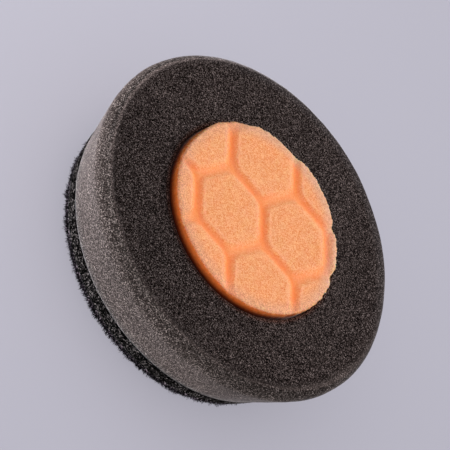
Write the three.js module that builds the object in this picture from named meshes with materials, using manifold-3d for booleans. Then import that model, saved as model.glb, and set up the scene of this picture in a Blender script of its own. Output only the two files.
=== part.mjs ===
// A 90 mm foam polishing pad for a hook-and-loop backing plate.
// Millimetres, +Z up. The origin is the centre of the loop fabric's back face, and
// +Z runs along the pad's axis towards the working face.
import * as THREE from "three";
import { mergeVertices } from "three/addons/utils/BufferGeometryUtils.js";
import Module from "manifold-3d";

const wasm = await Module();
wasm.setup();

// Outside shape: one cone from the loop face up to a rounded shoulder.
const PAD_RADIUS = 45;
const LOOP_RADIUS = 38;
const SHOULDER_RADIUS = 3.8;
const SHOULDER_END = THREE.MathUtils.degToRad(66);

// Layers, from the machine's side to the paint's side.
const LOOP_THICKNESS = 2.2;
const FILM_THICKNESS = 0.2;
const INTERFACE_THICKNESS = 4.6;
const RING_THICKNESS = 17.8;

// Centre plug.
const CORE_RADIUS = 25.2;
const CORE_STANDS_PROUD = 2.85;
const CORE_RIM_RADIUS = 0.9;
const BORE_CLEARANCE = 0.3;
const BORE_EDGE = 0.3;

// Hexagonal channels moulded into the plug's face.
const CELL_PITCH = 20.5;
const CELL_ANGLE = THREE.MathUtils.degToRad(-72.3);
const CELL_CENTRE = new THREE.Vector2(-5, -7.3);
const CHANNEL_WIDTH_AT_FACE = 3;
const CHANNEL_WIDTH_AT_FLOOR = 1;
const CHANNEL_DEPTH = 0.7;
const CELL_CORNER_RADIUS = 0.8;

// Heights of the layers' faces, all measured from the loop face.
const loopTop = LOOP_THICKNESS;
const rearFilmTop = loopTop + FILM_THICKNESS;
const interfaceTop = rearFilmTop + INTERFACE_THICKNESS;
const frontFilmTop = interfaceTop + FILM_THICKNESS;
const ringTop = frontFilmTop + RING_THICKNESS;
const coreTop = ringTop + CORE_STANDS_PROUD;

const ROUND_STEPS = 72;
const SHOULDER_STEPS = 6;
const RIM_STEPS = 4;
const QUARTER_TURN = Math.PI / 2;

// The shoulder's arc ends in a slight crease on the ring's face. Below, the cone that rises
// from the loop face's rim runs into it at a tangent.
const shoulderCentre = new THREE.Vector2(
  PAD_RADIUS - SHOULDER_RADIUS,
  ringTop - SHOULDER_RADIUS * Math.sin(SHOULDER_END),
);
const shoulderRun = shoulderCentre.x - LOOP_RADIUS;
const taper =
  Math.acos(-SHOULDER_RADIUS / Math.hypot(shoulderRun, shoulderCentre.y)) -
  Math.atan2(shoulderCentre.y, shoulderRun);
const sideRadius = (z) => LOOP_RADIUS + z * Math.tan(taper);

function material(colour, roughness) {
  return new THREE.MeshStandardMaterial({ color: colour, roughness, metalness: 0 });
}

function named(name, geometry, look) {
  const mesh = new THREE.Mesh(geometry, look);
  mesh.name = name;
  return mesh;
}

// Points of an arc, both ends included, in the radius and height of a turned profile.
function arc(centre, radius, from, to, steps) {
  return Array.from({ length: steps + 1 }, (_, i) => {
    const angle = from + ((to - from) * i) / steps;
    return new THREE.Vector2(
      centre.x + radius * Math.cos(angle),
      centre.y + radius * Math.sin(angle),
    );
  });
}

// A turned solid. LatheGeometry sweeps about Y, so the result is stood up onto +Z.
function turned(profile) {
  return new THREE.LatheGeometry(profile, ROUND_STEPS).rotateX(QUARTER_TURN);
}

// A flat disc between two heights whose edge follows the pad's cone.
function coneDisc(bottom, top) {
  return turned([
    new THREE.Vector2(0, bottom),
    new THREE.Vector2(sideRadius(bottom), bottom),
    new THREE.Vector2(sideRadius(top), top),
    new THREE.Vector2(0, top),
  ]);
}

// The outer foam: a tapered annulus with a rounded shoulder and a plain bore.
function foamRing() {
  const bore = CORE_RADIUS + BORE_CLEARANCE;
  const start = new THREE.Vector2(bore, frontFilmTop);
  return turned([
    start,
    new THREE.Vector2(sideRadius(frontFilmTop), frontFilmTop),
    ...arc(shoulderCentre, SHOULDER_RADIUS, -taper, SHOULDER_END, SHOULDER_STEPS),
    new THREE.Vector2(bore + BORE_EDGE, ringTop),
    new THREE.Vector2(bore, ringTop - BORE_EDGE),
    start.clone(),
  ]);
}

function solidOf(geometry) {
  const bare = geometry.clone();
  bare.deleteAttribute("normal");
  bare.deleteAttribute("uv");
  const merged = mergeVertices(bare, 1e-4);
  return new wasm.Manifold(
    new wasm.Mesh({
      numProp: 3,
      vertProperties: merged.attributes.position.array,
      triVerts: new Uint32Array(merged.index.array),
    }),
  );
}

function geometryOf(solid) {
  const mesh = solid.getMesh();
  const geometry = new THREE.BufferGeometry();
  geometry.setAttribute("position", new THREE.BufferAttribute(mesh.vertProperties, 3));
  geometry.setIndex(new THREE.BufferAttribute(mesh.triVerts, 1));
  geometry.computeVertexNormals();
  return geometry;
}

// Outline of one cell's flat top: a regular hexagon with softened corners.
function cellOutline() {
  const acrossFlats = CELL_PITCH - CHANNEL_WIDTH_AT_FACE;
  const cornerRadius = acrossFlats / Math.sqrt(3);
  const cut = CELL_CORNER_RADIUS / cornerRadius;
  const corners = Array.from({ length: 6 }, (_, i) => {
    const angle = CELL_ANGLE + Math.PI / 6 + (i * Math.PI) / 3;
    return new THREE.Vector2(Math.cos(angle), Math.sin(angle)).multiplyScalar(cornerRadius);
  });
  const outline = new THREE.Shape();
  corners.forEach((corner, i) => {
    const before = corner.clone().lerp(corners[(i + 5) % 6], cut);
    const after = corner.clone().lerp(corners[(i + 1) % 6], cut);
    if (i === 0) outline.moveTo(before.x, before.y);
    else outline.lineTo(before.x, before.y);
    outline.quadraticCurveTo(corner.x, corner.y, after.x, after.y);
  });
  outline.closePath();
  return outline;
}

// One raised cell, wider at the channel's floor than at the face.
function cell(centre) {
  const wallSlope = (CHANNEL_WIDTH_AT_FACE - CHANNEL_WIDTH_AT_FLOOR) / 2;
  const geometry = new THREE.ExtrudeGeometry(cellOutline(), {
    depth: CHANNEL_DEPTH,
    curveSegments: 2,
    bevelThickness: CHANNEL_DEPTH,
    bevelSize: wallSlope,
    bevelSegments: 1,
  });
  return solidOf(geometry.translate(centre.x, centre.y, coreTop - 2 * CHANNEL_DEPTH));
}

// Centres of every cell of the honeycomb that reaches the plug's face.
function cellCentres() {
  const along = new THREE.Vector2(Math.cos(CELL_ANGLE), Math.sin(CELL_ANGLE));
  const across = along.clone().rotateAround(new THREE.Vector2(), Math.PI / 3);
  const centres = [];
  for (let i = -3; i <= 3; i++) {
    for (let j = -3; j <= 3; j++) {
      const centre = CELL_CENTRE.clone()
        .addScaledVector(along, i * CELL_PITCH)
        .addScaledVector(across, j * CELL_PITCH);
      if (centre.length() < CORE_RADIUS + CELL_PITCH / Math.sqrt(3)) centres.push(centre);
    }
  }
  return centres;
}

// The centre plug: a turned body with a rounded rim, cut by the honeycomb of channels.
function foamCore() {
  const rimCentre = new THREE.Vector2(CORE_RADIUS - CORE_RIM_RADIUS, coreTop - CORE_RIM_RADIUS);
  const body = solidOf(
    turned([
      new THREE.Vector2(0, frontFilmTop),
      new THREE.Vector2(CORE_RADIUS, frontFilmTop),
      ...arc(rimCentre, CORE_RIM_RADIUS, 0, QUARTER_TURN, RIM_STEPS),
      new THREE.Vector2(0, coreTop),
    ]),
  );
  const faceLayer = solidOf(
    new THREE.CylinderGeometry(PAD_RADIUS, PAD_RADIUS, 2 * CHANNEL_DEPTH, 6)
      .rotateX(QUARTER_TURN)
      .translate(0, 0, coreTop),
  );
  const channels = cellCentres().reduce((rest, centre) => rest.subtract(cell(centre)), faceLayer);
  return geometryOf(body.subtract(channels));
}

const charcoalFoam = material(0x3a3230, 0.95);
const orangeFoam = material(0xf49a62, 0.9);
const blackFoam = material(0x1d1c1e, 0.92);
const clearFilm = material(0x2a2a2c, 0.35);
const loopKnit = material(0x17161a, 0.97);

const pad = new THREE.Group();
pad.add(
  named("loop_fabric", coneDisc(0, loopTop), loopKnit),
  named("rear_adhesive_film", coneDisc(loopTop, rearFilmTop), clearFilm),
  named("interface_foam", coneDisc(rearFilmTop, interfaceTop), blackFoam),
  named("front_adhesive_film", coneDisc(interfaceTop, frontFilmTop), clearFilm),
  named("foam_ring", foamRing(), charcoalFoam),
  named("hex_core", foamCore(), orangeFoam),
);

export default pad;
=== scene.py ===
"""The looks of a 90 mm foam polishing pad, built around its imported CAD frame.

Every soft layer of the frame is replaced by a fine mesh of the same size: open-cell foam with
pitted cells, a moulded honeycomb face, hot-melt films and a brushed loop fabric. Metres, +Z up.
"""
import math

import bpy
import numpy as np
from mathutils import Matrix, Vector


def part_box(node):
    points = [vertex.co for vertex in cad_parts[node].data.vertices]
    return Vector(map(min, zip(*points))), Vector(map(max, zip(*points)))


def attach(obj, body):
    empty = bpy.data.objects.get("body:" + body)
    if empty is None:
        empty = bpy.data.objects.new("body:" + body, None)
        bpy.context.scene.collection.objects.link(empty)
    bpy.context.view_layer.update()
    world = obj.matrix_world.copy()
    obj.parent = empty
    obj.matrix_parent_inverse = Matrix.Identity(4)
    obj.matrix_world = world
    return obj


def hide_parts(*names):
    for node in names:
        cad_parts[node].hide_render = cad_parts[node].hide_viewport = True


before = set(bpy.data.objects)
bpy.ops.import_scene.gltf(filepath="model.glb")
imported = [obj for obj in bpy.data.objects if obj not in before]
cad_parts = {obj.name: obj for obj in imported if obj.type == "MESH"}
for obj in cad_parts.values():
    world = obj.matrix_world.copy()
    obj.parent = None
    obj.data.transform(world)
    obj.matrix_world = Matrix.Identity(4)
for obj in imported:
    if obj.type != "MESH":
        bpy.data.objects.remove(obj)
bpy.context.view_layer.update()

MM = 0.001
BODY = "root"

# ---------------------------------------------------------------- sizes, from the frame
loop_low, loop_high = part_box("loop_fabric")
rear_low, rear_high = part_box("rear_adhesive_film")
pad_low, pad_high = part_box("interface_foam")
front_low, front_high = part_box("front_adhesive_film")
ring_low, ring_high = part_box("foam_ring")
core_low, core_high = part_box("hex_core")

PAD_RADIUS = ring_high.x
LOOP_TOP_RADIUS = loop_high.x
CORE_RADIUS = core_high.x
SHOULDER_RADIUS = 3.8 * MM
SHOULDER_END = math.radians(66)
shoulder_centre = (
    PAD_RADIUS - SHOULDER_RADIUS,
    ring_high.z - SHOULDER_RADIUS * math.sin(SHOULDER_END),
)
# The cone through the edges of the layers' faces.
cone_slope = (front_high.x - loop_high.x) / (front_high.z - loop_high.z)
taper = math.atan(cone_slope)

# The honeycomb moulded into the core's face.
CELL_PITCH = 20.5 * MM
CELL_ANGLE = math.radians(-72.3)
CELL_CENTRE = (-5.0 * MM, -7.3 * MM)
CHANNEL_HALF_FLOOR = 0.1 * MM
CHANNEL_HALF_FACE = 2.1 * MM
CHANNEL_DEPTH = 0.64 * MM
CHANNEL_NOTCH = 0.65 * MM
# How squarely a channel lies across the main light, for each of the three ways it can run.
CHANNEL_CROSSING = (0.7, 0.25, 1.0)
# The power that turns a hexagon's three reaches into one distance with rounded corners.
CORNER_POWER = 14
CELL_CROWN = 0.08 * MM
CORE_RIM_RADIUS = 0.9 * MM
FRAYED_SIDE = math.radians(75)
# Where the core's rim was cut out of round: direction and width in degrees, and how far out.
CORE_LOBES = (
    (90, 12, 0.3 * MM),
    (150, 16, 0.5 * MM),
    (188, 14, -0.35 * MM),
)

CORE_LIP_WIDTH = 0.42 * MM
# How the core's rim is torn: roughness of single points, and how much more on the frayed side.
TORN_ROUGH = 0.07 * MM
TORN_FRAYED = 0.6
# Bands over which the rim's painted sheen and the stronger painted sheen on its frayed side set in,
# measured from where its flat ends.
RIM_BAND = (-3.6 * MM, 0.4 * MM)
PALE_BAND = (-3.2 * MM, 0.5 * MM)
# Rows of points down the core's side: their step and count, then two hidden rows lower down,
# in heights of the rim above the ring's face.
CORE_WALL_STEP = 0.28 * MM
CORE_WALL_ROWS = 11
HIDDEN_WALL_SHARES = [3.0, 5.0]

# The ring's bore and foot.
BORE_GAP = 0.25 * MM
BORE_EDGE = 0.4 * MM
HEM_OUT = 0.05 * MM
HEM_RADIUS = 0.5 * MM
# The ring bulges a little on one side.
SWELL = 0.5 * MM
SWELL_TURN = math.radians(4)

# How fine the meshes are. The coarse steps are for faces that are hidden inside.
GRAIN_STEP = 0.36 * MM
UNDERSIDE_STEP = 3 * MM
BORE_STEP = 3.5 * MM
INTERFACE_STEP = 0.38 * MM
CORE_FACE_STEPS = 236
FABRIC_STEPS = 190
FILM_COLUMNS = 720

# Smooth unevenness: the depth, the size and the seed of each wave.
RING_WAVES = ((0.14 * MM, 13 * MM, 3), (0.05 * MM, 3 * MM, 4))
CORE_OUTLINE_WAVES = ((0.12 * MM, 9 * MM, 8),)
CORE_TORN_WAVES = ((0.2 * MM, 0.55 * MM, 9),)
CORE_WALL_WAVES = ((0.2 * MM, 0.6 * MM, 9),)
INTERFACE_WAVES = ((0.1 * MM, 5 * MM, 5),)
GROUND_WAVES = ((0.06 * MM, 2 * MM, 17),)
GROUND_EDGE_WAVES = ((0.12 * MM, 1.3 * MM, 19), (0.14 * MM, 0.5 * MM, 20))
FILM_CREEP = 0.1 * MM
FILM_CREEP_SIZE = 2.5 * MM

# The loop fabric: its cut size, its knitted ground's ribs, and the nap under and around it.
GROUND_THICKNESS = 1.75 * MM
GROUND_INSET = 0.1 * MM
GROUND_EDGE_ROWS = 6
GROUND_LAST_ROW_IN = 0.1 * MM
WALE = 1.1 * MM
WALE_HEIGHT = 0.16 * MM
COURSE = 0.9 * MM
COURSE_HEIGHT = 0.06 * MM
LOOP_SPACING = 1.02 * MM
LOOP_JITTER = 0.4 * LOOP_SPACING
LOOP_ROOT_DEPTH = 1.15 * MM
LOOP_SPAN = (0.5 * MM, 1.1 * MM)
LOOP_DROP = (0.85 * MM, 1.3 * MM)
LOOP_LEAN = 0.28 * MM
LOOP_POINTS = 7
LOOP_YARN = 0.06 * MM
FUZZ_COUNT = 7000
FUZZ_POINTS = 5
FUZZ_ROOT = 0.35 * MM
FUZZ_YARN = (0.1 * MM, 0.03 * MM)

# Directions in which the ring's painted light and shade change, in degrees from +X towards +Y.
FAR_SIDE = 90
LEFT_SIDE = 198
FRONT_SIDE = 255
NEAR_SIDE = 258
RIGHT_SIDE = 328

# Bands over which the ring's tones and its painted light and shade change, each from none to full.
# Heights, measured from the ring's face.
EDGE_BAND = (-0.15 * MM, -0.6 * MM)
WALL_BAND = (-1.9 * MM, -5.2 * MM)
CREASE_TOP_BAND = (-0.2 * MM, -0.5 * MM)
CREASE_FOOT_BAND = (-1.3 * MM, -0.7 * MM)
# Heights, measured from the ring's foot.
HEM_BAND = (3.0 * MM, 0.8 * MM)
FOOT_SHADE_BAND = (0.7 * MM, 0.15 * MM)
# Distances from the axis, measured from the ring's widest radius.
BROW_BAND = (-3.4 * MM, -2.2 * MM)
VERGE_BAND = (-5.0 * MM, -1.8 * MM)
# Distance from the axis, measured from the core's radius.
CONTACT_BAND = (1.9 * MM, 0.0)
# Distances from the axis towards one of the directions above.
FAR_BAND = (12 * MM, 34 * MM)
NEAR_BAND = (8 * MM, 38 * MM)
RIGHT_BAND = (40 * MM, 43.5 * MM)
DARK_CREASE_BAND = (36.5 * MM, 43 * MM)
PALE_CREASE_BAND = (34 * MM, 41 * MM)

# How much the ring's painted shade and highlight change its colour at most.
CREASE_DARKNESS = 0.65
CREASE_PALENESS = 0.8
NEAR_SHADE = 0.74
RIGHT_SHADE = 0.7
# How far the ring's grain is evened out towards its mean.
GRAIN_MEAN = 1.15
SIDE_EVENNESS = 0.25
FAR_EDGE_EVENNESS = 0.5
BROW_EVENNESS = 0.4

# The foam grain's pattern, in cells: how it is jittered, the band in which a strut fades, how
# light the struts are, and the band in which a pore's dark middle fades.
JITTER_SIZE = 2.5
JITTER_REACH = 0.6
STRUT_BAND = (0.02, 0.22)
STRUT_LIGHT = 0.7
PORE_BAND = (0.1, 0.65)

# Linear colours of the charcoal foam.
FACE = (0.0330, 0.0240, 0.0222)
# Painted light: the face lighter near its outer edge, and lighter still at the far edge.
FACE_BROW_PAINTED_LIGHT = (0.0390, 0.0300, 0.0280)
FACE_FAR_EDGE_PAINTED_LIGHT = (0.0560, 0.0470, 0.0470)
# Painted shade on the shoulder, except on the far side, where it has painted light.
SHOULDER_NEAR_PAINTED_SHADE = (0.0185, 0.0145, 0.0135)
SHOULDER_FAR_PAINTED_LIGHT = (0.0640, 0.0560, 0.0580)
# Painted shade on the left of the crease and a painted highlight in front.
CREASE_PAINTED_SHADE = (0.0055, 0.0043, 0.0040)
CREASE_PAINTED_HIGHLIGHT = (0.0320, 0.0262, 0.0243)
RING_WALL = (0.0365, 0.0298, 0.0283)
# A painted highlight just above the ring's foot, and painted shade right at it.
RING_HEM_PAINTED_HIGHLIGHT = (0.0400, 0.0352, 0.0343)
RING_FOOT_PAINTED_SHADE = (0.0260, 0.0230, 0.0225)
# Painted reddish light bounced from the core, with painted shade, on the ring's face beside it.
PAINTED_CORE_BOUNCE_AND_SHADE = (0.075, 0.026, 0.014)
LIT_CELLS = (0.031, 0.0280, 0.0275)

# Linear colours of the orange foam.
CORE_PITS = (0.76, 0.195, 0.045)
CORE_FACE = (0.94, 0.50, 0.26)
# Painted shade: a deeper orange in the channels, and deeper still in those across the main light.
CORE_CHANNEL_PAINTED_SHADE = (0.99, 0.345, 0.145)
CORE_SHADED_CHANNEL = (1.0, 0.20, 0.03)
# A painted highlight on the channels' lips that face the main light.
CORE_LIP_PAINTED_HIGHLIGHT = (0.97, 0.48, 0.29)
# Painted sheen: a paler, duller tone round the core's rim.
CORE_RIM_PAINTED_SHEEN = (0.70, 0.35, 0.22)
# More painted sheen on the frayed side of the rim, broken up by the grain.
CORE_FRAYED_SIDE_PAINTED_SHEEN = (0.68, 0.415, 0.28)
# Painted shade down the core's side, deepest where it meets the ring.
CORE_WALL_TOP_SHADE = (0.70, 0.178, 0.037)
CORE_WALL_MIDDLE_SHADE = (0.48, 0.095, 0.015)
CORE_WALL_FOOT_SHADE = (0.09, 0.010, 0.001)

# Linear colours of the black layers.
BLACK_FOAM = (0.0092, 0.0084, 0.0084)
FILM_DARK = (0.005, 0.005, 0.0055)
FILM_PALE = (0.014, 0.014, 0.015)
YARN_DARK = (0.0028, 0.0021, 0.0031)
YARN_PALE = (0.0076, 0.0060, 0.0082)
FABRIC_UPPER_EDGE = (0.0145, 0.0122, 0.0142)

# The stage: floor sizes in metres, linear colours, lamps and the camera at the photo's angle.
FLOOR_FLAT = 1.6
FLOOR_BEND = 0.5
BACKDROP_TOP = 0.6
FLOOR_RINGS = (0.001, 0.2, 0.6, 1.1)
FLOOR_BEND_STEP = 0.06
FLOOR_COLUMNS = 96
FLOOR_DARK = (0.455, 0.442, 0.505)
FLOOR_PALE = (0.475, 0.462, 0.53)
ROOM_COLOUR = (0.96, 0.965, 1.0)
ROOM_STRENGTH = 0.45
KEY_COLOUR = (1.0, 0.985, 0.97)
STRIP_LEFT_COLOUR = (1.0, 0.985, 0.99)
STRIP_FRONT_COLOUR = (1.0, 0.975, 0.95)
WASH_COLOUR = (1.0, 1.0, 1.0)
WASH_SIZE = 0.3
STRIP_DISTANCE = 0.36
STRIP_LENGTH = 0.36
STRIP_LIFT = 1 * MM
CAMERA_ELEVATION = math.radians(42.62)
CAMERA_ROLL = math.radians(59.86)
CAMERA_DISTANCE = 0.9
CAMERA_AIM = Vector((-2.465, 8.318, 9.040)) * MM
CAMERA_LENS = 291.2
CAMERA_SENSOR = 36


def cone_radius(z):
    return loop_high.x + (z - loop_high.z) * cone_slope


def on_shoulder(angle):
    """Radius and height of the point of the shoulder's arc at an angle above the level."""
    return (
        shoulder_centre[0] + SHOULDER_RADIUS * math.cos(angle),
        shoulder_centre[1] + SHOULDER_RADIUS * math.sin(angle),
    )


# ---------------------------------------------------------------- numbers and meshes
def lattice_value(ix, iy, iz, seed):
    """A repeatable random number in -1..1 for each corner of a lattice."""
    h = (ix * 73856093) ^ (iy * 19349663) ^ (iz * 83492791) ^ (seed * 2654435761)
    h = ((h ^ (h >> 13)) * 1274126177) & 0xFFFFFFFF
    h = h ^ (h >> 16)
    return (h & 0xFFFF) / 32767.5 - 1


def smooth_noise(points, cell, seed):
    """Smooth noise in -1..1 at each point, with features about one cell across."""
    scaled = points / cell
    base = np.floor(scaled).astype(np.int64)
    part = scaled - base
    part = part * part * (3 - 2 * part)
    total = np.zeros(points.shape[:-1])
    for dx in (0, 1):
        for dy in (0, 1):
            for dz in (0, 1):
                corner = (dx, dy, dz)
                weight = 1.0
                for axis in range(3):
                    share = part[..., axis]
                    weight = weight * (share if corner[axis] else 1 - share)
                ix, iy, iz = (base[..., axis] + corner[axis] for axis in range(3))
                total += weight * lattice_value(ix, iy, iz, seed)
    return total


def unevenness(points, waves):
    """The sum of smooth waves, each given by its depth, its size and its seed."""
    return sum(depth * smooth_noise(points, size, seed) for depth, size, seed in waves)


def smoothstep(low, high, value):
    t = np.clip((value - low) / (high - low), 0, 1)
    return t * t * (3 - 2 * t)


def new_mesh(name, verts, faces, material, attributes=None):
    """A smooth mesh object. attributes maps a name to one number for each vertex."""
    mesh = bpy.data.meshes.new(name)
    mesh.from_pydata(verts.tolist(), [], faces)
    for key, values in (attributes or {}).items():
        layer = mesh.attributes.new(key, "FLOAT", "POINT")
        layer.data.foreach_set("value", values.astype(np.float32))
    mesh.shade_smooth()
    mesh.materials.append(material)
    piece = bpy.data.objects.new(name, mesh)
    bpy.context.scene.collection.objects.link(piece)
    return piece


def belongs(piece, slot, *nodes):
    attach(piece, BODY)
    if nodes:
        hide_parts(*nodes)
    return piece


def stepped(start, end, step):
    """Points from start to end, about one step apart, without the last one."""
    start, end = np.array(start), np.array(end)
    count = max(1, round(np.linalg.norm(end - start) / step))
    return [tuple(start + (end - start) * i / count) for i in range(count)]


def arc_points(centre, radius, first, last, step):
    """Points of an arc in radius and height, without the last one."""
    count = max(2, round(abs(last - first) * radius / step))
    angles = [first + (last - first) * i / count for i in range(count)]
    return [(centre[0] + radius * math.cos(a), centre[1] + radius * math.sin(a)) for a in angles]


def turned_grid(profile, columns, closed):
    """Turns a profile of (radius, height) about Z.

    Gives points, outward normals, and the quads. The profile runs so that the solid is on its
    left. A closed profile joins its ends.
    """
    profile = np.array(profile)
    if closed:
        along = np.roll(profile, -1, axis=0) - np.roll(profile, 1, axis=0)
    else:
        along = np.gradient(profile, axis=0)
    along /= np.linalg.norm(along, axis=1)[:, None]
    turn = np.arange(columns) * 2 * math.pi / columns
    cos, sin = np.cos(turn)[None, :], np.sin(turn)[None, :]
    radius, height = profile[:, :1], profile[:, 1:]
    points = np.stack([radius * cos, radius * sin, height + 0 * cos], axis=-1)
    out, up = along[:, 1:], -along[:, :1]
    normals = np.stack([out * cos, out * sin, up + 0 * cos], axis=-1)
    rows = len(profile)
    last_row = rows if closed else rows - 1
    i = np.arange(last_row)[:, None]
    j = np.arange(columns)[None, :]
    next_i, next_j = (i + 1) % rows, (j + 1) % columns
    quads = np.stack(
        [i * columns + j, i * columns + next_j, next_i * columns + next_j, next_i * columns + j],
        axis=-1,
    )
    return points, normals, quads.reshape(-1, 4)


def capped(quads, rows, columns):
    """The faces of an open turned grid, with its first and last rows closed."""
    last_row = (rows - 1) * columns
    first_cap = list(range(columns))[::-1]
    last_cap = [last_row + k for k in range(columns)]
    return quads.tolist() + [first_cap, last_cap]


def skirt(rim, first, rows, upward):
    """Faces that run from a rim through rows of points, closed at the last row.

    The rows' points are numbered from first on, in the same order round as the rim.
    """
    faces = []
    for k in range(rows):
        row = first + k * len(rim) + np.arange(len(rim))
        next_rim, next_row = np.roll(rim, -1), np.roll(row, -1)
        corners = [rim, next_rim, next_row, row] if upward else [rim, row, next_row, next_rim]
        faces += np.stack(corners, axis=-1).tolist()
        rim = row
    faces.append(rim.tolist() if upward else rim[::-1].tolist())
    return faces


def disc_grid(count):
    """A square grid pressed into a unit disc: points, quads and its rim in order, anticlockwise."""
    line = np.linspace(-1, 1, count + 1)
    a, b = np.meshgrid(line, line, indexing="xy")
    wide = np.abs(a) > np.abs(b)
    safe_a = np.where(a == 0, 1, a)
    safe_b = np.where(b == 0, 1, b)
    radius = np.where(wide, a, b)
    angle = np.where(wide, math.pi / 4 * b / safe_a, math.pi / 2 - math.pi / 4 * a / safe_b)
    points = np.stack([radius * np.cos(angle), radius * np.sin(angle)], axis=-1).reshape(-1, 2)
    side = count + 1
    i, j = np.meshgrid(np.arange(count), np.arange(count), indexing="ij")
    start = (i * side + j).reshape(-1)
    quads = np.stack([start, start + 1, start + side + 1, start + side], axis=-1)
    steps = np.arange(count)
    rim = np.concatenate(
        [steps, steps * side + count, count * side + count - steps, (count - steps) * side]
    )
    return points, quads, rim


# ---------------------------------------------------------------- material nodes
class Look:
    """A small helper that adds nodes to one material and links them."""

    def __init__(self, name, roughness):
        self.material = bpy.data.materials.new(name)
        self.material.use_nodes = True
        self.tree = self.material.node_tree
        self.tree.nodes.clear()
        self.output = self.tree.nodes.new("ShaderNodeOutputMaterial")
        self.shader = self.tree.nodes.new("ShaderNodeBsdfPrincipled")
        self.shader.inputs["Roughness"].default_value = roughness
        self.tree.links.new(self.shader.outputs["BSDF"], self.output.inputs["Surface"])
        self.where = self.tree.nodes.new("ShaderNodeTexCoord").outputs["Object"]

    def set(self, socket, value):
        self.shader.inputs[socket].default_value = value

    def into(self, socket, output):
        self.tree.links.new(output, self.shader.inputs[socket])

    def sheen(self, weight, roughness, tint):
        self.set("Sheen Weight", weight)
        self.set("Sheen Roughness", roughness)
        self.set("Sheen Tint", (*tint, 1))

    def _feed(self, socket, value):
        if isinstance(value, bpy.types.NodeSocket):
            self.tree.links.new(value, socket)
        else:
            socket.default_value = value

    def math(self, operation, a, b=0.0):
        node = self.tree.nodes.new("ShaderNodeMath")
        node.operation = operation
        self._feed(node.inputs[0], a)
        self._feed(node.inputs[1], b)
        return node.outputs[0]

    def map(self, value, low, high, to_low, to_high, smooth=False):
        node = self.tree.nodes.new("ShaderNodeMapRange")
        node.interpolation_type = "SMOOTHSTEP" if smooth else "LINEAR"
        node.clamp = True
        self._feed(node.inputs["Value"], value)
        node.inputs["From Min"].default_value = low
        node.inputs["From Max"].default_value = high
        node.inputs["To Min"].default_value = to_low
        node.inputs["To Max"].default_value = to_high
        return node.outputs["Result"]

    def band(self, value, level, band, full=1.0, smooth=False):
        """From 0 to full across a band whose two ends are measured from a level."""
        start, end = band
        return self.map(value, level + start, level + end, 0.0, full, smooth)

    def times(self, a, b):
        return self.math("MULTIPLY", a, b)

    def noise(self, size, detail):
        """A number and a colour of smooth noise with features of that size."""
        node = self.tree.nodes.new("ShaderNodeTexNoise")
        node.inputs["Scale"].default_value = 1 / size
        node.inputs["Detail"].default_value = detail
        self.tree.links.new(self.where, node.inputs["Vector"])
        return node.outputs["Fac"], node.outputs["Color"]

    def clouds(self, size, low, high, detail=3.0):
        """Slow patches of brightness from low to high."""
        patches, _ = self.noise(size, detail)
        return self.map(patches, 0.3, 0.7, low, high)

    def cells(self, size, feature="F1", vector=None):
        """Distance and a random colour for each cell of a Voronoi pattern of that size."""
        node = self.tree.nodes.new("ShaderNodeTexVoronoi")
        node.feature = feature
        node.inputs["Scale"].default_value = 1 / size
        self.tree.links.new(vector or self.where, node.inputs["Vector"])
        return node.outputs["Distance"], node.outputs.get("Color")

    def split(self, colour):
        node = self.tree.nodes.new("ShaderNodeSeparateColor")
        self.tree.links.new(colour, node.inputs[0])
        return node.outputs[0], node.outputs[1], node.outputs[2]

    def place(self):
        """The three coordinates of each point in the pad's frame."""
        node = self.tree.nodes.new("ShaderNodeSeparateXYZ")
        self.tree.links.new(self.where, node.inputs[0])
        return node.outputs["X"], node.outputs["Y"], node.outputs["Z"]

    def height(self):
        return self.place()[2]

    def toward(self, azimuth):
        """Distance from the pad's axis, measured in one level direction given in degrees."""
        node = self.tree.nodes.new("ShaderNodeVectorMath")
        node.operation = "DOT_PRODUCT"
        self.tree.links.new(self.where, node.inputs[0])
        turn = math.radians(azimuth)
        node.inputs[1].default_value = (math.cos(turn), math.sin(turn), 0)
        return node.outputs["Value"]

    def radius(self):
        """Distance from the pad's axis."""
        x, y, _ = self.place()
        squares = self.math("ADD", self.math("POWER", x, 2.0), self.math("POWER", y, 2.0))
        return self.math("SQRT", squares)

    def attribute(self, name):
        node = self.tree.nodes.new("ShaderNodeAttribute")
        node.attribute_name = name
        return node.outputs["Fac"]

    def mix(self, factor, a, b, blend="MIX"):
        node = self.tree.nodes.new("ShaderNodeMix")
        node.data_type = "RGBA"
        node.blend_type = blend
        node.clamp_factor = True
        self._feed(node.inputs["Factor"], factor)
        self._feed(node.inputs["A"], a if isinstance(a, bpy.types.NodeSocket) else (*a, 1))
        self._feed(node.inputs["B"], b if isinstance(b, bpy.types.NodeSocket) else (*b, 1))
        return node.outputs["Result"]

    def scaled(self, colour, factor):
        """A colour times a number that varies over the surface."""
        grey = self.tree.nodes.new("ShaderNodeCombineColor")
        for channel in range(3):
            self.tree.links.new(factor, grey.inputs[channel])
        return self.mix(1.0, colour, grey.outputs[0], "MULTIPLY")

    def bump(self, height, distance, strength):
        node = self.tree.nodes.new("ShaderNodeBump")
        node.inputs["Strength"].default_value = strength
        node.inputs["Distance"].default_value = distance
        self.tree.links.new(height, node.inputs["Height"])
        self.tree.links.new(node.outputs["Normal"], self.shader.inputs["Normal"])


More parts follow.
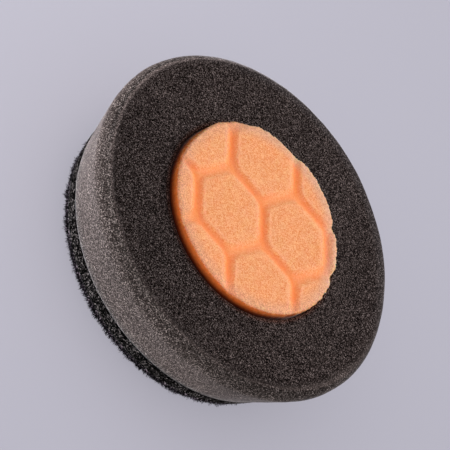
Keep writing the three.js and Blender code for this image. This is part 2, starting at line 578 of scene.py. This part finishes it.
def foam_grain(look, cell, dark, light, power, pore=None, pore_depth=0.0):
    """Brightness and relief of cut foam.

    Each cell has a level of its own from dark to light, with lit struts between the cells. A
    high power leaves few cells light. Larger pores, if given, darken the foam at their middles.
    """
    _, jitter = look.noise(cell * JITTER_SIZE, detail=1.0)
    shifted = look.mix(cell * JITTER_REACH, look.where, jitter, "ADD")
    distance, random = look.cells(cell, vector=shifted)
    edge, _ = look.cells(cell, "DISTANCE_TO_EDGE", vector=shifted)
    level, strut_level, _ = look.split(random)
    bright = look.map(look.math("POWER", level, power), 0.0, 1.0, dark, light)
    strut = look.map(edge, *STRUT_BAND, 1.0, 0.0, smooth=True)
    lit = look.times(strut, look.map(strut_level, 0.0, 1.0, 0.0, STRUT_LIGHT))
    grain = look.math("ADD", bright, lit)
    if pore:
        middle, _ = look.cells(pore)
        pits = look.map(middle, *PORE_BAND, 1 - pore_depth, 1 + pore_depth)
        grain = look.times(grain, pits)
    relief = look.math("ADD", look.map(distance, 0.0, 0.8, 0.0, 0.7), strut)
    return grain, relief


def charcoal_face(look, brow, verge, far):
    """The ring's face: paler near its outer edge, above all on the far side, as painted light, and
    darker towards the near side as painted shade.
    """
    colour = look.mix(brow, FACE, FACE_BROW_PAINTED_LIGHT)
    colour = look.mix(look.times(verge, far), colour, FACE_FAR_EDGE_PAINTED_LIGHT)
    shade = look.map(look.toward(NEAR_SIDE), *NEAR_BAND, 1.0, NEAR_SHADE)
    return look.scaled(colour, shade)


def charcoal_shoulder(look, height, far):
    """The shoulder, with painted shade except on the far side, where it has painted light, and a
    crease round its top with painted shade on the left and a painted highlight in front.
    """
    colour = look.mix(far, SHOULDER_NEAR_PAINTED_SHADE, SHOULDER_FAR_PAINTED_LIGHT)
    crease = look.times(
        look.band(height, ring_high.z, CREASE_TOP_BAND),
        look.band(height, ring_high.z, CREASE_FOOT_BAND),
    )
    left, front = look.toward(LEFT_SIDE), look.toward(FRONT_SIDE)
    dark = look.band(left, 0, DARK_CREASE_BAND, CREASE_DARKNESS, smooth=True)
    pale = look.band(front, 0, PALE_CREASE_BAND, CREASE_PALENESS, smooth=True)
    colour = look.mix(look.times(crease, dark), colour, CREASE_PAINTED_SHADE)
    return look.mix(look.times(crease, pale), colour, CREASE_PAINTED_HIGHLIGHT)


def charcoal_evenness(look, side, brow, verge, far):
    """How far the grain is evened out: on the side, the brow and the far edge."""
    far_edge = look.times(look.math("MAXIMUM", verge, side), far)
    face_brow = look.times(brow, look.math("SUBTRACT", 1.0, side))
    side_even = look.times(side, SIDE_EVENNESS)
    far_even = look.times(far_edge, FAR_EDGE_EVENNESS)
    brow_even = look.times(face_brow, BROW_EVENNESS)
    return look.math("MAXIMUM", look.math("MAXIMUM", side_even, far_even), brow_even)


def charcoal_look():
    look = Look("charcoal_foam", roughness=0.95)
    grain, relief = foam_grain(
        look, cell=0.18 * MM, dark=0.0, light=4.75, power=4.8, pore=0.36 * MM, pore_depth=0.95
    )
    height, radius = look.height(), look.radius()
    side = look.band(height, ring_high.z, EDGE_BAND, smooth=True)
    brow = look.band(radius, PAD_RADIUS, BROW_BAND)
    verge = look.band(radius, PAD_RADIUS, VERGE_BAND)
    far = look.band(look.toward(FAR_SIDE), 0, FAR_BAND, smooth=True)
    wall = look.band(height, ring_high.z, WALL_BAND)
    outer = look.mix(wall, charcoal_shoulder(look, height, far), RING_WALL)
    base = look.mix(side, charcoal_face(look, brow, verge, far), outer)
    # A painted highlight just above the ring's foot and painted shade right at it.
    base = look.mix(look.band(height, ring_low.z, HEM_BAND), base, RING_HEM_PAINTED_HIGHLIGHT)
    base = look.mix(look.band(height, ring_low.z, FOOT_SHADE_BAND), base, RING_FOOT_PAINTED_SHADE)
    # Painted reddish bounce light and shade on the ring's face beside the core.
    contact = look.band(radius, CORE_RADIUS, CONTACT_BAND, full=0.85, smooth=True)
    base = look.mix(contact, base, PAINTED_CORE_BOUNCE_AND_SHADE)
    base = look.mix(look.map(grain, 0.5, 5.0, 0.0, 0.4), base, LIT_CELLS)
    shade = look.map(look.toward(RIGHT_SIDE), *RIGHT_BAND, 1.0, RIGHT_SHADE)
    base = look.scaled(base, look.times(look.clouds(14 * MM, low=0.9, high=1.1), shade))
    evenness = charcoal_evenness(look, side, brow, verge, far)
    even = look.times(look.math("SUBTRACT", GRAIN_MEAN, grain), evenness)
    look.into("Base Color", look.scaled(base, look.math("ADD", grain, even)))
    look.set("Specular IOR Level", 0.0)
    look.sheen(weight=0.2, roughness=0.25, tint=(0.92, 0.9, 0.95))
    look.bump(relief, distance=0.12 * MM, strength=0.04)
    return look.material


def orange_wall_shade(look, depth):
    """The core's side, darker with depth below its face in millimetres: painted shade."""
    colour = look.mix(look.band(depth, 0, (0.6, 1.8)), CORE_WALL_TOP_SHADE, CORE_WALL_MIDDLE_SHADE)
    return look.mix(look.band(depth, 0, (1.5, 2.7)), colour, CORE_WALL_FOOT_SHADE)


def orange_look():
    look = Look("orange_foam", roughness=0.9)
    grain, relief = foam_grain(
        look, cell=0.2 * MM, dark=0.0, light=1.0, power=1.0, pore=0.45 * MM, pore_depth=0.25
    )
    grain_band = (0.1, 1.3)
    rim, depth = look.attribute("rim"), look.attribute("depth")
    base = look.mix(look.band(grain, 0, grain_band), CORE_PITS, CORE_FACE)
    # Painted shade in the channels, deeper across the main light, a painted highlight on their lit
    # lips and painted sheen round the rim.
    for factor, strength, colour in (
        (look.attribute("channel"), 0.5, CORE_CHANNEL_PAINTED_SHADE),
        (look.attribute("shade"), 0.55, CORE_SHADED_CHANNEL),
        (look.attribute("lip_highlight"), 0.4, CORE_LIP_PAINTED_HIGHLIGHT),
        (rim, 0.62, CORE_RIM_PAINTED_SHEEN),
    ):
        base = look.mix(look.times(factor, strength), base, colour)
    # Painted shade on the core's side below its rim.
    under_rim = look.band(depth, 0, (0.2, 0.75), smooth=True)
    base = look.mix(under_rim, base, orange_wall_shade(look, depth))
    # Painted sheen on the frayed side of the rim, broken up by the grain.
    grainy_sheen = look.map(grain, *grain_band, 0.25, 1.0)
    base = look.mix(look.times(look.attribute("pale"), grainy_sheen), base, CORE_FRAYED_SIDE_PAINTED_SHEEN)
    speckle = look.times(rim, look.map(grain, *grain_band, -0.22, 0.2))
    base = look.scaled(base, look.math("ADD", speckle, 1.0))
    look.into("Base Color", look.scaled(base, look.clouds(9 * MM, low=0.98, high=1.02)))
    look.set("Specular IOR Level", 0.1)
    look.set("Subsurface Weight", 0.7)
    look.set("Subsurface Radius", (1.0, 0.35, 0.12))
    look.set("Subsurface Scale", 2.5 * MM)
    look.sheen(weight=0.25, roughness=0.25, tint=(1.0, 0.93, 0.9))
    look.bump(relief, distance=0.08 * MM, strength=0.1)
    return look.material


def black_look():
    """The interface foam, a little darker towards the film on top of it: painted shade."""
    look = Look("black_foam", roughness=0.9)
    grain, relief = foam_grain(look, cell=0.32 * MM, dark=0.0, light=17.0, power=8.5)
    # Painted shade towards the top, under the film and the ring.
    under = look.map(look.height(), pad_high.z - 2.0 * MM, pad_high.z, 1.0, 0.72)
    patches = look.clouds(6 * MM, low=0.8, high=1.2)
    base = look.scaled(BLACK_FOAM, look.times(patches, under))
    look.into("Base Color", look.scaled(base, grain))
    look.set("Specular IOR Level", 0.0)
    look.bump(relief, distance=0.2 * MM, strength=1.0)
    return look.material


def film_look():
    look = Look("adhesive_film", roughness=0.35)
    patch, _ = look.noise(1.2 * MM, detail=3.0)
    look.into("Base Color", look.mix(patch, FILM_DARK, FILM_PALE))
    look.set("Specular IOR Level", 0.2)
    look.into("Roughness", look.map(patch, 0.3, 0.7, 0.28, 0.5))
    look.bump(patch, distance=0.05 * MM, strength=0.4)
    return look.material


def fabric_look():
    look = Look("loop_fabric", roughness=0.85)
    strand, _ = look.noise(0.5 * MM, detail=3.0)
    fleck, relief = foam_grain(look, cell=0.3 * MM, dark=0.0, light=28.0, power=12.0)
    base = look.mix(strand, YARN_DARK, YARN_PALE)
    base = look.scaled(base, look.map(look.attribute("tone"), 0.0, 1.0, 0.9, 2.6))
    base = look.scaled(base, look.clouds(5 * MM, low=0.8, high=1.25, detail=2.0))
    upper = look.band(look.height(), 0, (1.3 * MM, 1.9 * MM), full=0.8)
    base = look.mix(upper, base, FABRIC_UPPER_EDGE)
    look.into("Base Color", look.scaled(base, fleck))
    look.set("Specular IOR Level", 0.0)
    look.sheen(weight=0.02, roughness=0.4, tint=(0.85, 0.82, 0.95))
    look.bump(relief, distance=0.15 * MM, strength=1.0)
    return look.material


# ---------------------------------------------------------------- the pad's pieces
def pitted(points, normals, rng, rough, pits, pit_depth):
    """Roughens a foam surface: fine unevenness and open cells sunk into it."""
    shape = points.shape[:-1]
    height = rng.normal(0, rough, shape)
    height -= pit_depth * (rng.random(shape) < pits) * rng.uniform(0.5, 1.0, shape)
    return points + normals * height[..., None]


def ring_profile(bore, low, high):
    """The ring's section, from the bore's foot outwards and round."""
    foot = cone_radius(low) + HEM_OUT
    hem_centre = (foot - HEM_RADIUS, low + HEM_RADIUS)
    face_edge = (on_shoulder(SHOULDER_END)[0], high)
    bore_edge_centre = (bore + BORE_EDGE, high - BORE_EDGE)
    profile = stepped((bore, low), (foot - HEM_RADIUS, low), UNDERSIDE_STEP)
    profile += arc_points(hem_centre, HEM_RADIUS, -math.pi / 2, 0, GRAIN_STEP)
    profile += stepped((foot, low + HEM_RADIUS), on_shoulder(-taper), GRAIN_STEP)
    profile += arc_points(shoulder_centre, SHOULDER_RADIUS, -taper, SHOULDER_END, GRAIN_STEP)
    profile += stepped(face_edge, (bore + BORE_EDGE, high), GRAIN_STEP)
    profile += arc_points(bore_edge_centre, BORE_EDGE, math.pi / 2, math.pi, GRAIN_STEP)
    return profile + stepped((bore, high - BORE_EDGE), (bore, low), BORE_STEP)


def make_ring(material):
    rng = np.random.default_rng(11)
    bore = CORE_RADIUS + BORE_GAP
    low, high = ring_low.z, ring_high.z
    columns = round(2 * math.pi * PAD_RADIUS / GRAIN_STEP)
    points, normals, quads = turned_grid(ring_profile(bore, low, high), columns, closed=True)
    wave = unevenness(points, RING_WAVES)
    turn = np.arctan2(points[..., 1], points[..., 0])
    swell = SWELL * np.maximum(0, np.cos(turn - SWELL_TURN)) ** 12
    swell *= smoothstep(low + 4 * MM, high - 4 * MM, points[..., 2])
    outside = smoothstep(bore, bore + 1.5 * MM, np.hypot(points[..., 0], points[..., 1]))
    points = points + normals * ((wave + swell) * outside)[..., None]
    points = pitted(points, normals, rng, rough=0.005 * MM, pits=0.2, pit_depth=0.02 * MM)
    ring = new_mesh("charcoal_ring", points.reshape(-1, 3), quads.tolist(), material)
    belongs(ring, "charcoal_foam", "foam_ring")
    return ring


def channel_distance(x, y):
    """How far each point is from the middle of the nearest channel, with rounded cell corners.

    Also how squarely that channel lies across the main light, from 0 to 1.
    """
    along = np.array([math.cos(CELL_ANGLE), math.sin(CELL_ANGLE)])
    across = np.array([math.cos(CELL_ANGLE + math.pi / 3), math.sin(CELL_ANGLE + math.pi / 3)])
    third = across - along
    nearest = np.full(x.shape, np.inf)
    crossing = np.zeros(x.shape)
    for i in range(-3, 4):
        for j in range(-3, 4):
            cx, cy = np.array(CELL_CENTRE) + CELL_PITCH * (i * along + j * across)
            total = np.zeros(x.shape)
            shaded = np.zeros(x.shape)
            for axis, share in zip((along, across, third), CHANNEL_CROSSING):
                reach = np.abs((x - cx) * axis[0] + (y - cy) * axis[1]) ** CORNER_POWER
                total += reach
                shaded += share * reach
            size = total ** (1 / CORNER_POWER)
            crossing = np.where(size < nearest, shaded / total, crossing)
            nearest = np.where(size < nearest, size, nearest)
    return CELL_PITCH / 2 - nearest, crossing


def core_lobes(azimuth):
    """How far the core's rim is out of round in each direction."""
    lobe = np.zeros(azimuth.shape)
    for direction, width, size in CORE_LOBES:
        off = (np.degrees(azimuth) - direction + 180) % 360 - 180
        lobe += size * np.exp(-((off / width) ** 2))
    return lobe


def core_face(rng):
    """The core's moulded face, down round its rim.

    Gives its points, outward normals, quads, rim order, the rim's points before they are
    roughened, how far each point is out of round, and the numbers that the material reads.
    """
    unit, quads, rim = disc_grid(CORE_FACE_STEPS)
    flat = CORE_RADIUS - CORE_RIM_RADIUS
    run = np.hypot(unit[:, 0], unit[:, 1]) * (flat + CORE_RIM_RADIUS * math.pi / 2)
    azimuth = np.arctan2(unit[:, 1], unit[:, 0])
    bend = np.clip((run - flat) / CORE_RIM_RADIUS, 0, math.pi / 2)
    radius = np.minimum(run, flat) + CORE_RIM_RADIUS * np.sin(bend)
    x, y = radius * np.cos(azimuth), radius * np.sin(azimuth)
    gap, crossing = channel_distance(x, y)
    channel = 1 - smoothstep(CHANNEL_HALF_FLOOR, CHANNEL_HALF_FACE, gap)
    crown = CELL_CROWN * (1 - smoothstep(CHANNEL_HALF_FACE, CELL_PITCH / 2, gap))
    rim_depth = CORE_RIM_RADIUS * (1 - np.cos(bend))
    sunk = (CHANNEL_DEPTH * channel + crown) * (1 - 0.2 * np.sin(bend))
    face = np.stack([x, y, core_high.z - rim_depth - sunk], axis=-1)
    normals = np.stack(
        [np.sin(bend) * np.cos(azimuth), np.sin(bend) * np.sin(azimuth), np.cos(bend)], axis=-1
    )
    frayed = smoothstep(0.1, 0.7, np.cos(azimuth - FRAYED_SIDE))
    notch = CHANNEL_NOTCH * channel * np.sin(bend) * (0.35 + 0.75 * frayed)
    torn = unevenness(face, CORE_TORN_WAVES) + rng.normal(0, TORN_ROUGH, x.shape)
    ragged = torn * np.sin(bend) * (1 + TORN_FRAYED * frayed)
    outline = unevenness(np.stack([x, y, 0 * x], axis=-1), CORE_OUTLINE_WAVES)
    cut = core_lobes(azimuth) - notch
    face[:, :2] += normals[:, :2] * (outline + cut)[:, None]
    rim_row = face[rim].copy()
    face += normals * ragged[:, None]
    face = pitted(face, normals, rng, rough=0.010 * MM, pits=0.2, pit_depth=0.02 * MM)
    lip_highlight = np.exp(-(((gap - CHANNEL_HALF_FACE) / CORE_LIP_WIDTH) ** 2))
    # What the material reads: where painted shade falls in the channels, a painted highlight on the
    # lit lips, painted sheen round the rim and more on the frayed side, and depth below the face.
    looks = {
        "channel": channel,
        "lip_highlight": lip_highlight * np.cos(bend) * crossing,
        "shade": channel * crossing,
        "rim": smoothstep(*RIM_BAND, run - flat),
        "pale": smoothstep(*PALE_BAND, run - flat) * frayed,
        "depth": rim_depth / MM,
    }
    return face, normals, quads, rim, rim_row, cut, looks


def core_wall(rng, rim_row, outward, cut):
    """Rows of points down the core's side, and each row's share of the way to the ring's face.

    What is out of round at the rim is gone where the core meets the ring.
    """
    proud = core_high.z - ring_high.z
    shares = [CORE_WALL_STEP * k / proud for k in range(1, CORE_WALL_ROWS + 1)]
    shares += HIDDEN_WALL_SHARES
    rows = []
    for share in shares:
        row = rim_row.copy()
        row[:, 2] -= share * (rim_row[:, 2] - ring_high.z)
        if share == shares[-1]:
            row[:, 2] = core_low.z
        shown = max(0.0, 1 - share)
        row[:, :2] -= outward * (cut * (1 - shown))[:, None]
        rough = shown * unevenness(row, CORE_WALL_WAVES)
        rough += rng.normal(0, 0.03 * MM, len(row)) - 0.08 * MM * (rng.random(len(row)) < 0.2)
        row[:, :2] += outward * rough[:, None]
        rows.append(row)
    return rows, shares


def make_core(material):
    rng = np.random.default_rng(23)
    face, normals, quads, rim, rim_row, cut, looks = core_face(rng)
    wall, shares = core_wall(rng, rim_row, normals[rim, :2], cut[rim])
    on_wall = {name: np.zeros(len(wall) * len(rim)) for name in looks}
    # The frayed side's painted sheen fades a little way down the wall.
    rim_pale = looks["pale"][rim]
    on_wall["pale"] = np.concatenate([rim_pale * max(0.0, 1 - 0.8 * share) for share in shares])
    on_wall["depth"] = np.concatenate([core_high.z - row[:, 2] for row in wall]) / MM
    core = new_mesh(
        "orange_core",
        np.concatenate([face] + wall),
        quads.tolist() + skirt(rim, len(face), len(wall), upward=False),
        material,
        {name: np.concatenate([looks[name], on_wall[name]]) for name in looks},
    )
    belongs(core, "orange_foam", "hex_core")
    return core


def make_interface(material):
    rng = np.random.default_rng(31)
    low, high = pad_low.z, pad_high.z
    rows = round((high - low) / INTERFACE_STEP)
    profile = []
    for i in range(rows + 1):
        share = i / rows
        z = low + (high - low) * share
        bulge = 0.1 * MM * math.sin(math.pi * share)
        pinch = 0.28 * MM * share**6 + 0.1 * MM * (1 - share) ** 6
        profile.append((cone_radius(z) + bulge - pinch, z))
    columns = round(2 * math.pi * cone_radius(high) / INTERFACE_STEP)
    points, normals, quads = turned_grid(profile, columns, closed=False)
    points = points + normals * unevenness(points, INTERFACE_WAVES)[..., None]
    points = pitted(points, normals, rng, rough=0.05 * MM, pits=0.3, pit_depth=0.25 * MM)
    points[0, :, 2] = low
    points[-1, :, 2] = high
    faces = capped(quads, len(profile), columns)
    layer = new_mesh("interface_layer", points.reshape(-1, 3), faces, material)
    belongs(layer, "black_foam", "interface_foam")
    return layer


def make_film(name, low, high, node, material, seed):
    """A thin hot-melt film whose edge has crept a little unevenly."""
    mid = (low + high) / 2
    inset = 0.12 * MM
    rounding = 0.06 * MM
    profile = [
        (cone_radius(low) - inset - rounding, low),
        (cone_radius(mid) - inset, mid),
        (cone_radius(high) - inset - rounding, high),
    ]
    points, normals, quads = turned_grid(profile, FILM_COLUMNS, closed=False)
    creep = FILM_CREEP * smooth_noise(points, FILM_CREEP_SIZE, seed)
    points[..., :2] += normals[..., :2] * creep[..., None]
    faces = capped(quads, len(profile), FILM_COLUMNS)
    film = new_mesh(name, points.reshape(-1, 3), faces, material)
    return belongs(film, "adhesive_film", node)


def tubes(paths, radius, sides=3):
    """A closed tube along each path: paths is (tubes, points, 3) and radius (tubes, points)."""
    count, length, _ = paths.shape
    along = np.gradient(paths, axis=1)
    along /= np.linalg.norm(along, axis=2, keepdims=True) + 1e-12
    askew = np.array([0.31, 0.17, 0.93])
    side = np.cross(along, askew)
    side /= np.linalg.norm(side, axis=2, keepdims=True) + 1e-12
    other = np.cross(along, side)
    rings = []
    for k in range(sides):
        angle = 2 * math.pi * k / sides
        offset = side * math.cos(angle) + other * math.sin(angle)
        rings.append(paths + offset * radius[..., None])
    verts = np.stack(rings, axis=2).reshape(-1, 3)
    t = np.arange(count)[:, None, None] * length * sides
    i = np.arange(length - 1)[None, :, None] * sides
    k = np.arange(sides)[None, None, :]
    next_k = (k + 1) % sides
    near, far = t + i, t + i + sides
    quads = np.stack([near + k, far + k, far + next_k, near + next_k], axis=-1)
    start = (np.arange(count) * length * sides)[:, None] + np.arange(sides)[None, :]
    end = start + (length - 1) * sides
    return verts, quads.reshape(-1, 4).tolist() + start.tolist() + end[:, ::-1].tolist()


def ground_edge(under_rim, low, high):
    """The ground's cut edge, which rises from the back face's rim in ragged rows."""
    edge = []
    for k in range(1, GROUND_EDGE_ROWS + 1):
        row = under_rim.copy()
        row[:, 2] += (high - row[:, 2]) * (k / GROUND_EDGE_ROWS)
        widening = (cone_radius(row[:, 2]) - GROUND_INSET) / (cone_radius(low) - GROUND_INSET)
        row[:, :2] *= widening[:, None]
        ragged = unevenness(row, GROUND_EDGE_WAVES)
        if k == GROUND_EDGE_ROWS:
            ragged -= GROUND_LAST_ROW_IN
        row[:, :2] *= (1 + ragged / cone_radius(high))[:, None]
        edge.append(row)
    return edge


def make_loop_ground(material):
    """The knitted ground of the loop fabric, ribbed on its back face."""
    unit, quads, rim = disc_grid(FABRIC_STEPS)
    high = loop_high.z
    low = high - GROUND_THICKNESS
    bottom = unit * (cone_radius(low) - GROUND_INSET)
    relief = np.abs(np.sin(math.pi * bottom[:, 0] / WALE)) * WALE_HEIGHT
    relief += np.abs(np.sin(math.pi * bottom[:, 1] / COURSE)) * COURSE_HEIGHT
    at = np.stack([bottom[:, 0], bottom[:, 1], 0 * relief], axis=-1)
    relief += unevenness(at, GROUND_WAVES)
    under = np.column_stack([bottom, low + 0.25 * MM - relief])
    edge = ground_edge(under[rim], low, high)
    verts = np.concatenate([under] + edge)
    faces = quads[:, ::-1].tolist() + skirt(rim, len(under), len(edge), upward=True)
    ground = new_mesh("loop_ground", verts, faces, material)
    return belongs(ground, "loop_fabric", "loop_fabric")


def make_loop_pile(material):
    """The nap under the fabric: small arched loops that the backing plate's hooks catch."""
    rng = np.random.default_rng(41)
    reach = -loop_low.x - 0.5 * MM
    line = np.arange(-reach, reach + LOOP_SPACING, LOOP_SPACING)
    gx, gy = (g.reshape(-1) for g in np.meshgrid(line, line))
    gx = gx + rng.uniform(-LOOP_JITTER, LOOP_JITTER, len(gx))
    gy = gy + rng.uniform(-LOOP_JITTER, LOOP_JITTER, len(gy))
    keep = np.hypot(gx, gy) < cone_radius(0) - 0.7 * MM
    gx, gy = gx[keep], gy[keep]
    count = len(gx)
    root = np.column_stack([gx, gy, np.full(count, loop_high.z - LOOP_ROOT_DEPTH)])
    turn = rng.uniform(0, 2 * math.pi, count)
    span = rng.uniform(*LOOP_SPAN, count)
    drop = rng.uniform(*LOOP_DROP, count)
    lean = rng.normal(0, LOOP_LEAN, (count, 2))
    t = np.linspace(0, 1, LOOP_POINTS)[None, :]
    paths = np.repeat(root[:, None, :], LOOP_POINTS, axis=1)
    sway = np.sin(math.pi * t)
    paths[..., 0] += np.cos(turn)[:, None] * span[:, None] * (t - 0.5) + lean[:, :1] * sway
    paths[..., 1] += np.sin(turn)[:, None] * span[:, None] * (t - 0.5) + lean[:, 1:] * sway
    paths[..., 2] -= drop[:, None] * sway
    paths[..., 2] = np.maximum(paths[..., 2], 0.07 * MM)
    verts, faces = tubes(paths, np.full((count, LOOP_POINTS), LOOP_YARN))
    pile = new_mesh("loop_pile", verts, faces, material)
    return belongs(pile, "loop_fabric")


def make_edge_fuzz(material):
    """Cut ends and loops that stand out around the fabric's rim."""
    rng = np.random.default_rng(43)
    turn = rng.uniform(0, 2 * math.pi, FUZZ_COUNT)
    height = rng.uniform(0.2, 2.0, FUZZ_COUNT) * MM
    unrolled = np.column_stack([turn * LOOP_TOP_RADIUS, height, 0 * turn])
    clump = smooth_noise(unrolled, 1.6 * MM, 47)
    swirl = smooth_noise(unrolled, 2.2 * MM, 48)
    reach = (0.02 + 0.22 * rng.random(FUZZ_COUNT) + 0.5 * np.maximum(clump, 0)) * MM
    reach += 0.45 * MM * (rng.random(FUZZ_COUNT) < 0.07)
    start = cone_radius(height) - FUZZ_ROOT
    root = np.column_stack([start * np.cos(turn), start * np.sin(turn), height])
    out = np.column_stack([np.cos(turn), np.sin(turn), 0 * turn])
    round_about = np.column_stack([-np.sin(turn), np.cos(turn), 0 * turn])
    up = np.array([0, 0, 1.0])
    t = np.linspace(0, 1, FUZZ_POINTS)[None, :, None]
    slant = (0.45 * swirl + rng.normal(0, 0.3, FUZZ_COUNT))[:, None, None]
    fall = (-0.2 + 0.3 * rng.normal(0, 1, FUZZ_COUNT))[:, None, None]
    size = (reach + FUZZ_ROOT)[:, None, None]
    paths = root[:, None, :] + size * (
        t * out[:, None, :] + slant * t**2 * round_about[:, None, :] + fall * t**2 * up
    )
    paths += rng.normal(0, 0.04 * MM, paths.shape) * t
    paths[..., 2] = np.clip(paths[..., 2], 0.06 * MM, loop_high.z + 0.1 * MM)
    radius = np.linspace(*FUZZ_YARN, FUZZ_POINTS)[None, :] * np.ones((FUZZ_COUNT, 1))
    verts, faces = tubes(paths, radius)
    tone = np.repeat(rng.random(FUZZ_COUNT) ** 4, len(verts) // FUZZ_COUNT)
    fuzz = new_mesh("edge_fuzz", verts, faces, material, {"tone": tone})
    return belongs(fuzz, "loop_fabric")


charcoal, orange, black = charcoal_look(), orange_look(), black_look()
film_material, fabric_material = film_look(), fabric_look()

ring = make_ring(charcoal)
core = make_core(orange)
interface = make_interface(black)
front_film = make_film(
    "front_film", front_low.z, front_high.z, "front_adhesive_film", film_material, seed=61
)
rear_film = make_film(
    "rear_film", rear_low.z, rear_high.z, "rear_adhesive_film", film_material, seed=62
)
ground = make_loop_ground(fabric_material)
pile = make_loop_pile(fabric_material)
fuzz = make_edge_fuzz(fabric_material)


# ---------------------------------------------------------------- floor, light and camera
def make_floor():
    """A pale floor that curves up into a backdrop all round."""
    edge = FLOOR_FLAT + FLOOR_BEND
    profile = [(radius, 0.0) for radius in FLOOR_RINGS]
    profile += arc_points(
        (FLOOR_FLAT, FLOOR_BEND), FLOOR_BEND, -math.pi / 2, 0, FLOOR_BEND_STEP
    )
    profile += [(edge, FLOOR_BEND), (edge, BACKDROP_TOP)]
    points, _, quads = turned_grid(profile, FLOOR_COLUMNS, closed=False)
    faces = quads[:, ::-1].tolist()
    faces.append(list(range(FLOOR_COLUMNS)))
    look = Look("floor", roughness=0.8)
    tone, _ = look.noise(0.25, detail=2.0)
    look.into("Base Color", look.mix(tone, FLOOR_DARK, FLOOR_PALE))
    look.set("Specular IOR Level", 0.1)
    floor = new_mesh("floor", points.reshape(-1, 3), faces, look.material)
    return floor


def area_light(name, azimuth, elevation, distance, size, power, colour, height=None):
    """A soft light that faces the pad's axis from a direction given in degrees."""
    a, e = math.radians(azimuth), math.radians(elevation)
    place = Vector((math.cos(a) * math.cos(e), math.sin(a) * math.cos(e), math.sin(e))) * distance
    data = bpy.data.lights.new(name, "AREA")
    data.shape = "RECTANGLE"
    data.size = size
    data.size_y = height or size
    data.energy = power
    data.color = colour
    lamp = bpy.data.objects.new(name, data)
    lamp.location = place
    lamp.rotation_euler = place.to_track_quat("Z", "Y").to_euler()
    lamp.visible_camera = False
    bpy.context.scene.collection.objects.link(lamp)
    return lamp


def group(name, *objects):
    made = bpy.data.collections.new(name)
    for item in objects:
        made.objects.link(item)
    return made


def low_strip(name, azimuth, power, colour, lit):
    """A long light on the floor, no higher than the ring's face, for the pad's tapered side."""
    height = ring_high.z - 2 * STRIP_LIFT
    lamp = area_light(name, azimuth, 0, STRIP_DISTANCE, STRIP_LENGTH, power, colour, height)
    lamp.location.z = STRIP_LIFT + height / 2
    lamp.light_linking.receiver_collection = lit


def make_world():
    world = bpy.data.worlds.new("soft_room")
    world.use_nodes = True
    background = world.node_tree.nodes["Background"]
    background.inputs["Color"].default_value = (*ROOM_COLOUR, 1)
    background.inputs["Strength"].default_value = ROOM_STRENGTH
    bpy.context.scene.world = world


def make_lamps(floor, core, side_pieces):
    """The lamps, each of which lights only the pad's side pieces, the core or the floor."""
    lit_side = group("lit_side", *side_pieces)
    only_core = group("only_core", core)
    only_floor = group("only_floor", floor)
    for name, azimuth, elevation, distance, size, power, lit in (
        ("key", 50, 42, 1.4, 0.8, 17, lit_side),
        ("core_key", 62, 42, 1.4, 0.8, 17, only_core),
        ("core_fill", 275, 13, 0.5, 0.3, 1.35, only_core),
    ):
        lamp = area_light(name, azimuth, elevation, distance, size, power, KEY_COLOUR)
        lamp.light_linking.receiver_collection = lit
    low_strip("strip_left", 191, 6.6, STRIP_LEFT_COLOUR, lit_side)
    low_strip("strip_front", 305, 2.6, STRIP_FRONT_COLOUR, lit_side)
    for name, azimuth, elevation, distance, power in (
        ("floor_wash", 190, 38, 0.45, 1.1),
        ("floor_wash_high", 50, 60, 1.4, 9.0),
    ):
        wash = area_light(name, azimuth, elevation, distance, WASH_SIZE, power, WASH_COLOUR)
        wash.light_linking.receiver_collection = only_floor
        wash.light_linking.blocker_collection = only_floor


def make_camera():
    forward = Vector((0, math.cos(CAMERA_ELEVATION), -math.sin(CAMERA_ELEVATION)))
    level_right = Vector((1, 0, 0))
    level_up = Vector((0, math.sin(CAMERA_ELEVATION), math.cos(CAMERA_ELEVATION)))
    right = level_right * math.cos(CAMERA_ROLL) + level_up * math.sin(CAMERA_ROLL)
    up = level_up * math.cos(CAMERA_ROLL) - level_right * math.sin(CAMERA_ROLL)
    data = bpy.data.cameras.new("camera")
    data.sensor_width = CAMERA_SENSOR
    data.lens = CAMERA_LENS
    data.clip_start = 0.01
    data.clip_end = 20
    camera = bpy.data.objects.new("camera", data)
    turn = Matrix((right, up, -forward)).transposed()
    camera.matrix_world = Matrix.Translation(CAMERA_AIM - forward * CAMERA_DISTANCE) @ turn.to_4x4()
    bpy.context.scene.collection.objects.link(camera)
    bpy.context.scene.camera = camera


bpy.context.scene.view_settings.view_transform = "Standard"
make_world()
make_lamps(make_floor(), core, (ring, interface, front_film, rear_film, ground, pile, fuzz))
make_camera()
